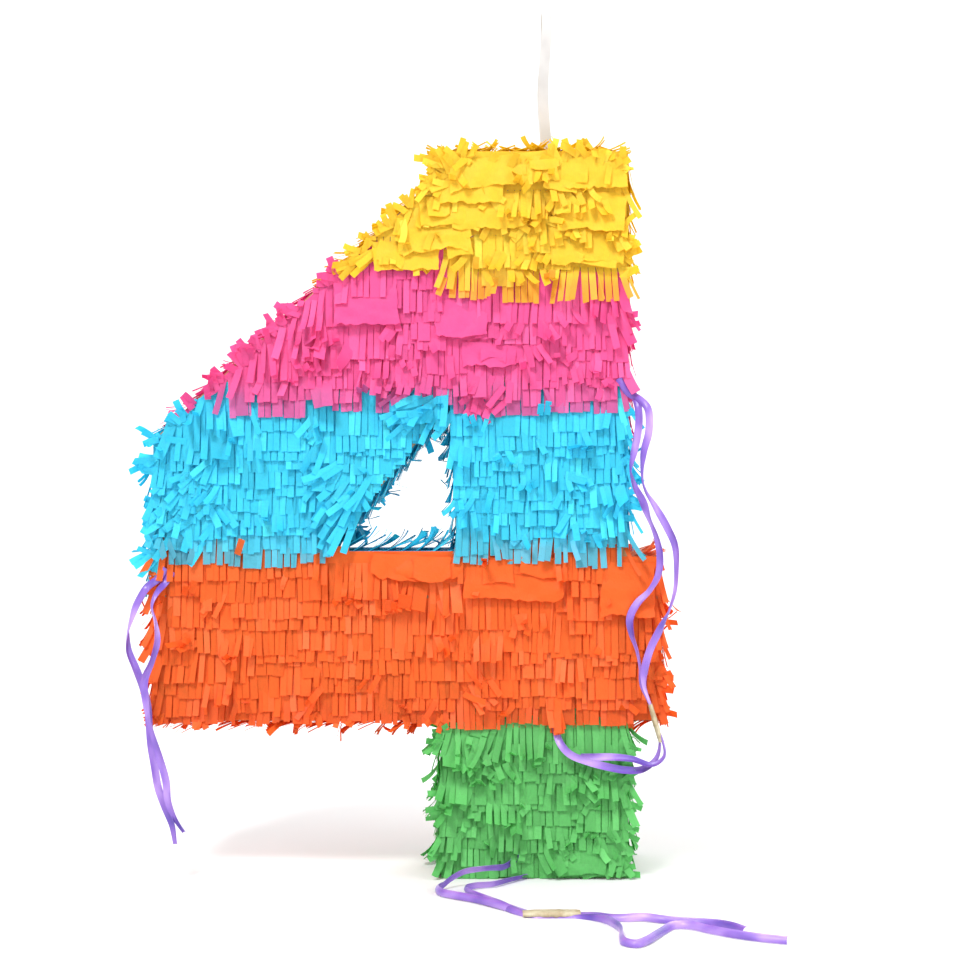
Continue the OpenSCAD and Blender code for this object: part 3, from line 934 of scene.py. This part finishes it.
# The rows on each wall: seed, the outline's corners from and to, lift in degrees, mess, the band at
# a height, and what differs from the usual strand length, reach past the wall's end, start and side.
WALL_ROWS = [
    (301, 1, 2, -2, 0.5, band_of, {}), (302, 3, 4, -2, 0.5, one_band("orange"), {}),
    (303, 5, 6, 2, 1.0, one_band("green"), {"reach": -0.5}),
    (304, 7, 8, 2, 1.0, one_band("green"), {"reach": -0.5}),
    (305, 9, 10, 0, 0.7, band_of, {}), (306, 10, 11, 4, 1.0, slope_band, {"length": 16.0}),
    (316, 11, 0, 9, 1.6, band_of, {"length": 14.0}),
    (307, 0, 1, 7, 1.6, one_band("yellow"), {"length": 13.0, "start": 5.0}),
    (317, 1, 0, 9, 1.6, one_band("yellow"), {"length": 12.0, "start": 5.0, "side": -1}),
    (308, 2, 3, 10, 1.2, one_band("orange"), {"length": 14.0, "start": 4.0}),
    (309, 4, 5, 8, 1.2, one_band("orange"), {"length": 12.0, "start": 4.0}),
    (310, 8, 9, 8, 1.6, one_band("orange"), {"length": 15.0}),
]
HOLE_ROWS = [
    (320, 1, 0, 7, 1.3, one_band("blue"), {"length": 14.0, "reach": 0.0}),
    (321, 2, 1, 16, 3.0, one_band("blue"), {"length": 17.0, "reach": 2.0}),
    (322, 0, 2, 5, 1.0, one_band("blue"), {"length": 14.0, "reach": 0.0}),
]


def edge_fringe():
    """The fringe on all the walls, one piece for each colour, and the hole's in blue."""
    builders, hole = {name: Builder() for name in BANDS}, {"blue": Builder()}
    for made, outline, rows in ((builders, OUTLINE, WALL_ROWS), (hole, HOLE, HOLE_ROWS)):
        for seed, p, q, lift, rough, colour_at, options in rows:
            edge_rows(made, seed, outline[p], outline[q], lift, rough, colour_at, **options)
    for name, builder in builders.items():
        assign(builder.build("edge_tissue_" + name, MATERIAL[name]), "edge_fringe_" + name)
    assign(hole["blue"].build("hole_tissue", MATERIAL["blue"]), "hole_fringe_blue")


# ---- Ribbons ----

RIBBON_W = 5.0
RIBBON_CUP = 1.0  # how deep its cross-section is cupped
RIBBON_T = 0.22
ON_FLOOR = 0.4  # the middle of a ribbon that lies flat, above the ground
FLOOR_ROUTE = 3.0  # the height of a route that lies on the floor
LOOP_W = 6.0
LOOP_CUP = 0.2
LOOP_T = 0.35
LOOP_HALF = 12  # from the loop's axis to either side of its crown
CROWN_H = -FOOT_Z - 9  # where the crown's half round starts
TUCK_Y = -35.8  # where an end goes under the fringe

# Routes as x, y, height and the ribbon's turn about its line in degrees: at 0 and 180 it shows its
# flat side to the front, or upwards where it lies on the floor, and at 90 and 270 an edge.
RIGHT_A = [
    (45, -38, 285, 0), (47, -39, 278, 10), (50, -41, 271, 10), (51, -42, 262, 0), (50, -42, 252, 10),
    (48, -42, 243, 25), (46, -42, 234, 80), (48, -42, 224, 140), (53, -42, 215, 165),
    (57, -42, 205, 255), (61, -42, 195, 235), (63, -42, 184, 210), (62, -42, 173, 215),
    (57, -42, 164, 245), (50, -41, 157, 200), (46, -41, 149, 185), (47, -41, 140, 235),
    (50, -41, 131, 255), (52, -41, 121, 262), (53, -41, 111, 235), (57, -41, 101, 262),
    (60, -41, 90, 270), (63, -41, 79, 270), (61, -41, 69, 240), (53, -41, 63, 215), (43, -43, 63, 200),
    (33, -44, 65, 190), (22, -44, 68, 185), (12, -43, 72, 180), (6, -42, 79, 165), (4, -40, 88, 150),
    (4, -37, 95, 150),
]
RIGHT_B = [
    (40, -38, 285, 0), (45, -39, 277, 10), (52, -43, 272, 10), (56, -46, 266, 0), (56, -47, 254, 5),
    (53, -47, 243, 30), (52, -47, 232, 85), (54, -47, 221, 100), (60, -47, 211, 150),
    (66, -47, 201, 190), (71, -47, 190, 215), (72, -47, 177, 240), (71, -47, 164, 250),
    (67, -47, 152, 275), (62, -47, 142, 350), (57, -46, 132, 385), (54, -46, 121, 365),
    (54, -45, 111, 300), (57, -45, 101, 275), (60, -45, 90, 270), (64, -46, 80, 270),
    (65, -46, 71, 262), (58, -45, 66, 240), (47, -43, 69, 225), (36, -41, 70, 205), (26, -41, 70, 190),
    (18, -41, 70, 185),
]
LEFT_A = [
    (-218, -38, 177, 0), (-222, -39, 171, 10), (-227, -42, 167, 10), (-231, -42, 161, 5),
    (-235, -42, 153, 25), (-238, -42, 142, 80), (-238, -42, 131, 130), (-234, -42, 121, 150),
    (-230, -42, 111, 175), (-227, -42, 100, 185), (-226, -42, 89, 195), (-225, -42, 77, 190),
    (-223, -42, 65, 180), (-221, -42, 53, 170), (-217, -42, 42, 185), (-213, -42, 32, 210),
    (-211, -42, 21, 235),
]
LEFT_B = [
    (-214, -38, 175, 0), (-218, -41, 169, 20), (-222, -45, 163, 40), (-224, -47, 156, 75),
    (-222, -47, 147, 95), (-221, -47, 136, 140), (-224, -47, 125, 120), (-228, -47, 114, 165),
    (-227, -47, 102, 200), (-225, -47, 91, 235), (-222, -47, 80, 215), (-219, -46, 69, 190),
    (-216, -45, 57, 180), (-215, -44, 46, 200), (-211, -44, 36, 225), (-206, -43, 28, 240),
]
FOOT_A = [
    (-18, -38, 17, 90), (-20, -39, 11, 85), (-25, -44, 9, 70), (-32, -49, 10, 50), (-40, -53, 10, 55),
    (-48, -56, 9, 60), (-55, -60, 6, 65), (-60, -66, 3, 80), (-63, -74, 3, 70), (-60, -83, 3, 60),
    (-53, -90, 3, 65), (-44, -97, 3, 60), (-36, -106, 3, 70), (-28, -115, 3, 60), (-20, -123, 3, 40),
    (-11, -128, 3, 15), (0, -128, 3, 12), (11, -129, 3, 15), (20, -134, 3, 40), (28, -140, 3, 40),
    (36, -143, 3, 55), (45, -143, 3, 70), (54, -147, 3, 60), (63, -148, 3, 45), (72, -149, 3, 40),
    (81, -154, 3, 50), (88, -162, 3, 60), (93, -170, 3, 50),
]
FOOT_B = [
    (-12, -38, 3, 40), (-18, -42, 3, 45), (-25, -51, 3, 55), (-32, -60, 3, 60), (-41, -64, 3, 60),
    (-46, -71, 3, 75), (-47, -80, 3, 100), (-43, -90, 3, 80), (-36, -100, 3, 60), (-29, -111, 3, 60),
    (-21, -124, 3, 40), (-11, -133, 3, 15), (0, -133, 3, 12), (11, -134, 3, 15), (19, -139, 3, 40),
    (25, -147, 3, 60), (29, -159, 3, 70), (31, -172, 3, 80), (30, -185, 3, 65), (31, -194, 3, 50),
    (37, -199, 3, 55), (43, -193, 3, 70), (48, -182, 3, 60), (53, -170, 3, 45), (59, -160, 3, 55),
    (67, -161, 3, 65), (76, -170, 3, 60), (87, -180, 3, 65), (99, -187, 3, 60), (111, -192, 3, 55),
]


def curve_through(points, step=1.5):
    """A smooth line through the points (Catmull-Rom), as points about step apart."""
    p = np.array(points, float)[:, :3]
    p = np.concatenate([[2 * p[0] - p[1]], p, [2 * p[-1] - p[-2]]])
    line = []
    for a, b, c, d in zip(p, p[1:], p[2:], p[3:]):
        n = max(2, int(np.linalg.norm(c - b) / step))
        t = np.linspace(0, 1, n, endpoint=False)[:, None]
        line.append(0.5 * (2 * b + (c - a) * t + (2 * a - 5 * b + 4 * c - d) * t**2
                           + (3 * b - a - 3 * c + d) * t**3))
    return np.concatenate(line + [p[-2][None]])


def turns_along(points, line):
    """The turn at every point of the line, from the degrees given at the route's points."""
    at = [int(np.argmin(np.linalg.norm(line - np.array(p[:3], float), axis=1))) for p in points]
    spread = np.interp(np.arange(len(line)), at, np.radians([p[3] for p in points]))
    return np.convolve(np.pad(spread, 3, mode="edge"), np.ones(7) / 7, mode="valid")


def distances(line):
    """How far along the line each of its points is."""
    return np.concatenate([[0], np.cumsum(np.linalg.norm(np.diff(line, axis=0), axis=1))])


def tucked(line, start, end):
    """The line with its ends pressed in towards the card, under the fringe, over the given lengths."""
    s = distances(line)
    for reach, along in ((start, s), (end, s[-1] - s)):
        if reach:
            hold = np.exp(-((along / reach) ** 4))
            line[:, 1] = line[:, 1] * (1 - hold) + TUCK_Y * hold
    return line


SIDE_AXIS = {"front": (0, -1.0, 0), "floor": (0, 0, 1.0)}


def ribbon(name, points, width, cup, mat, facing, thick=RIBBON_T, tuck=(0, 0)):
    """A flat ribbon along a route, turned about its line by the degrees given at the points.

    At 0 degrees its flat side faces the front, or upwards on the floor, or its width lies along x.
    """
    line = curve_through(points)
    turn = turns_along(points, line)[:, None]
    line = tucked(line, *tuck)
    if facing == "floor":
        stood = np.abs(np.sin(turn[:, 0])) * width / 2
        line[:, 2] = np.maximum(line[:, 2] - FLOOR_ROUTE + ON_FLOOR, ON_FLOOR) + stood
    along = unit(np.gradient(line, axis=0))
    s = distances(line)
    if facing == "x":
        side = unit(np.array([1.0, 0, 0]) - along[:, :1] * along)
    else:
        side = unit(np.cross(along, SIDE_AXIS[facing]))
    for i in range(1, len(side)):
        side[i] *= -1 if side[i] @ side[i - 1] < 0 else 1
    up = np.cross(along, side)
    across = np.cos(turn) * side + np.sin(turn) * up
    normal = np.cos(turn) * up - np.sin(turn) * side
    chord = width - 0.7 * cup
    steps = np.linspace(-1, 1, 7)
    grid = (line[:, None] + across[:, None] * (steps * chord / 2)[None, :, None]
            + normal[:, None] * (cup * (steps**2 - 0.5))[None, :, None])
    normals = np.repeat(normal[:, None], len(steps), axis=1)
    builder = Builder()
    builder.sheets(grid[None], normals[None], thick, np.ones((1, len(line), len(steps), 3)))
    piece = builder.build(name, mat, sharp=50)
    add_along_uv(piece.data, s, steps)
    return piece, world(line)


def add_along_uv(mesh, s, steps):
    """UVs that run along the ribbon in centimetres and across it from 0 to 1."""
    v = np.stack(np.meshgrid(s / 10, (steps + 1) / 2, indexing="ij"), axis=-1).reshape(-1, 2)
    v = np.concatenate([v, v])
    loops = np.zeros(len(mesh.loops), int)
    mesh.loops.foreach_get("vertex_index", loops)
    layer = mesh.uv_layers.new(name="Along")
    layer.data.foreach_set("uv", v[loops].ravel().astype(np.float32))


def declare(piece, line, node, far_end, lay, with_pieces=()):
    """Puts a ribbon in its CAD node's place."""
    assign(piece, node)
    tuple(line[0])
    round(float(distances(line)[-1]), 3)
    list(with_pieces)
    [tuple(p) for p in line]


def tape_wrap(name, node, centre, direction, size, seed):
    """A sleeve of masking tape wound round two strands: soft oval turns with overlapping edges."""
    rng = np.random.default_rng(seed)
    length, width, height = size
    along = unit(np.array(direction, float))
    upright = abs(along[2]) > 0.5
    side = unit(np.cross(along, [0.0, -1.0, 0.02] if upright else [0, 0, 1.0]))
    up = np.cross(along, side)
    rings, around = 15, 20
    t = np.linspace(-0.5, 0.5, rings)
    a = np.linspace(0, 2 * math.pi, around, endpoint=False)
    turn_edge = 1 + 0.05 * (np.floor((t + 0.5) * 3.2) % 2)
    wide, high = width / 2, height / 2
    rough = rng.normal(1, 0.05, (rings, around)) * (1 - 0.22 * np.abs(2 * t[:, None]) ** 3)
    rough[:, 0] = rough[:, -1]
    x = np.sign(np.cos(a)) * np.abs(np.cos(a)) ** 0.75 * wide
    y = np.sign(np.sin(a)) * np.abs(np.sin(a)) ** 0.75 * high
    ring = (x[None, :, None] * side + y[None, :, None] * up) * (rough * turn_edge[:, None])[..., None]
    pts = np.array(centre, float) + (t * length)[:, None, None] * along + ring
    ends = [pts[0] * 0.6 + pts[0].mean(0) * 0.4, pts[-1] * 0.6 + pts[-1].mean(0) * 0.4]
    pts = np.concatenate([ends[0][None], pts, ends[1][None]])
    n = len(pts)
    index = np.arange(n * around).reshape(n, around)
    nxt = np.roll(index, -1, axis=1)
    faces = np.stack([index[:-1], nxt[:-1], nxt[1:], index[1:]], axis=-1).reshape(-1, 4).tolist()
    faces += [index[0][::-1].tolist(), index[-1].tolist()]
    piece = mesh_piece(name, world(pts.reshape(-1, 3)), faces, MATERIAL["tape"], sharp=50)
    return assign(piece, node)


# Tape wraps: the middle, the way along, and length, width and height.
RIGHT_TAPE = (60, -44, 90), (0.28, 0, -1), (22, 2.8, 9.6)
FOOT_TAPE = (-1.8, -130.5, 1.7), (1, 0.03, 0), (30, 9.6, 3.2)


def ribbons():
    """The loop and the three pairs of streamers."""
    right = [tape_wrap("right_tape_wrap", "right_ribbon_tape", *RIGHT_TAPE, 41)]
    foot = [tape_wrap("foot_tape_wrap", "foot_ribbon_tape", *FOOT_TAPE, 42)]
    made = (
        ("right_streamer_a", RIGHT_A, "right_ribbon_a", "front", "object", "loose", (14, 17), right),
        ("right_streamer_b", RIGHT_B, "right_ribbon_b", "front", "bare", "loose", (16, 0), right),
        ("left_streamer_a", LEFT_A, "left_ribbon_a", "front", "bare", "hanging", (13, 0), []),
        ("left_streamer_b", LEFT_B, "left_ribbon_b", "front", "bare", "hanging", (13, 0), []),
        ("foot_streamer_a", FOOT_A, "foot_ribbon_a", "floor", "bare", "loose", (13, 0), foot),
        ("foot_streamer_b", FOOT_B, "foot_ribbon_b", "floor", "bare", "loose", (4, 0), foot),
    )
    for name, route, node, facing, far_end, lay, tuck, things in made:
        piece, line = ribbon(name, route, RIBBON_W, RIBBON_CUP, MATERIAL["ribbon"], facing, tuck=tuck)
        declare(piece, line, node, far_end, lay, things)
    piece, line = ribbon("hanging_loop_ribbon", loop_route(), LOOP_W, LOOP_CUP, MATERIAL["loop"], "x", LOOP_T)
    declare(piece, line, "hanging_loop", "object", "taut")


# One side of the loop, from its knot up.
LOOP_SIDE = [(0, 8, 404), (0, 8, 412), (0, 8, 421), (-1, 9, 433), (-2, 11, 447), (-2, 12, 460), (-1, 12, 474)]


def loop_route():
    """The loop: up from the knot through the front hole, over the crown and down behind."""
    arc = [(0, -LOOP_HALF * math.cos(a), CROWN_H + LOOP_HALF * math.sin(a))
           for a in np.radians(range(0, 181, 30))]
    line = [(x, -y, h) for x, y, h in LOOP_SIDE] + arc + LOOP_SIDE[::-1]
    return [(*p, 0) for p in line]


# ---- Card, toggle and knot ----


def knot():
    """The loop's knot: two lobes of wrapped ribbon."""
    low, high = box_mm("loop_knot")
    centre, size = (low + high) / 2 - [0, 0, FOOT_Z], high - low
    t = np.linspace(0, 2 * math.pi, 120, endpoint=False)
    r, w = size[1] * 0.24, size[2] * 0.24
    path = np.stack([w * 1.1 * np.sin(3 * t), (r + w * np.cos(3 * t)) * np.sin(2 * t) * 0.95,
                     (w + w * np.cos(3 * t)) * np.cos(2 * t) * 0.5], axis=1) + centre
    along = unit(np.roll(path, -1, axis=0) - np.roll(path, 1, axis=0))
    side = unit(np.cross(along, [0.3, 0.2, 1.0]))
    up = np.cross(along, side)
    a = np.linspace(0, 2 * math.pi, 10, endpoint=False)
    tube_r = w * 0.75
    ring = np.cos(a)[None, :, None] * side[:, None] + np.sin(a)[None, :, None] * up[:, None]
    pts = path[:, None] + tube_r * ring
    index = np.arange(len(path) * len(a)).reshape(-1, len(a))
    nxt, down = np.roll(index, -1, axis=1), np.roll(index, -1, axis=0)
    faces = np.stack([index, nxt, np.roll(down, -1, axis=1), down], axis=-1).reshape(-1, 4)
    piece = mesh_piece("loop_knot_tied", world(pts.reshape(-1, 3)), faces.tolist(), MATERIAL["loop"])
    piece.data.uv_layers.new(name="Along")
    assign(piece, "loop_knot")


def dress_cad():
    """Gives the card pieces and the toggle, whose CAD shapes stay, their materials."""
    for name, piece in frame["nodes"].items():
        card = name.endswith(("_wall", "_panel")) or name in ("fill_flap", "loop_anchor")
        if card or name == "loop_toggle":
            piece.data.materials.clear()
            piece.data.materials.append(MATERIAL["card" if card else "wood"])


# ---- Studio ----

EYE_X = -39.0
EYE_H = 227.0
EYE_DISTANCE = 1100.0  # to the front of the fringe
VIEW_W = 545.0  # seen at that distance
FRINGE_T = 5.0
SENSOR = 36.0


def camera():
    """Straight at the front, level, with a plain lens."""
    data = bpy.data.cameras.new("camera")
    data.sensor_width = SENSOR
    data.lens = SENSOR * EYE_DISTANCE / VIEW_W
    data.clip_end = 50
    eye = put("camera", data)
    eye.location = world([EYE_X, -FACE_Y - FRINGE_T - EYE_DISTANCE, EYE_H])
    eye.rotation_euler = (math.pi / 2, 0, 0)
    bpy.context.scene.camera = eye


def light(name, location, target, size, power):
    """A round soft light, aimed at the target."""
    data = bpy.data.lights.new(name, "AREA")
    data.shape = "DISK"
    data.size = size
    data.energy = power
    lamp = put(name, data)
    lamp.location = location
    lamp.rotation_euler = (Vector(target) - Vector(location)).to_track_quat("-Z", "Y").to_euler()


def studio():
    """A pale floor that curves up into a backdrop, and three soft lights."""
    floor_z = FOOT_Z * MM
    radius, back, wide, front = 0.5, 1.6, 4.0, -2.6
    profile = [(front, floor_z), (back - radius, floor_z)]
    profile += [(back - radius + radius * math.sin(a), floor_z + radius - radius * math.cos(a))
                for a in np.linspace(0.1, math.pi / 2, 12)]
    profile.append((back, 3.0))
    points = [(x, y, z) for y, z in profile for x in (-wide, wide)]
    faces = [(2 * i, 2 * i + 1, 2 * i + 3, 2 * i + 2) for i in range(len(profile) - 1)]
    mesh_piece("studio_floor", points, faces, floor_material())
    middle = (EYE_X * MM, 0, floor_z + 0.21)
    light("key", (-0.7, -1.4, floor_z + 2.0), middle, 0.6, 42)
    light("fill", (1.5, -1.2, floor_z + 0.8), middle, 1.2, 14)
    light("rim", (0.3, 1.1, floor_z + 1.6), middle, 0.9, 12)
    sky = bpy.data.worlds.new("studio")
    sky.use_nodes = True
    background = sky.node_tree.nodes["Background"]
    background.inputs["Color"].default_value = (1, 1, 1, 1)
    background.inputs["Strength"].default_value = 0.94
    bpy.context.scene.world = sky
    bpy.context.scene.view_settings.view_transform = "Standard"


# ---- Everything together ----

MATERIAL = {name: tissue_material(name) for name in BANDS}
MATERIAL["card"] = card_material()
MATERIAL["wood"] = wood_material()
MATERIAL["tape"] = tape_material()
# For each ribbon the first colour is its painted highlight, the second its own colour and the third its
# painted shade.
MATERIAL["ribbon"] = ribbon_material(
    "purple_ribbon", srgb(196, 160, 232), srgb(140, 102, 200), srgb(92, 66, 172), 0.3, 0.45)
MATERIAL["loop"] = ribbon_material(
    "white_ribbon", srgb(204, 200, 198), srgb(194, 191, 189), srgb(180, 177, 175), 0.5, 0.1)

camera()
ribbons()
for number, band in enumerate(BANDS):
    panel_fringe(band, True, 100 + number)
    panel_fringe(band, False, 200 + number)
edge_fringe()
flap_fringe(250)
knot()
dress_cad()
studio()
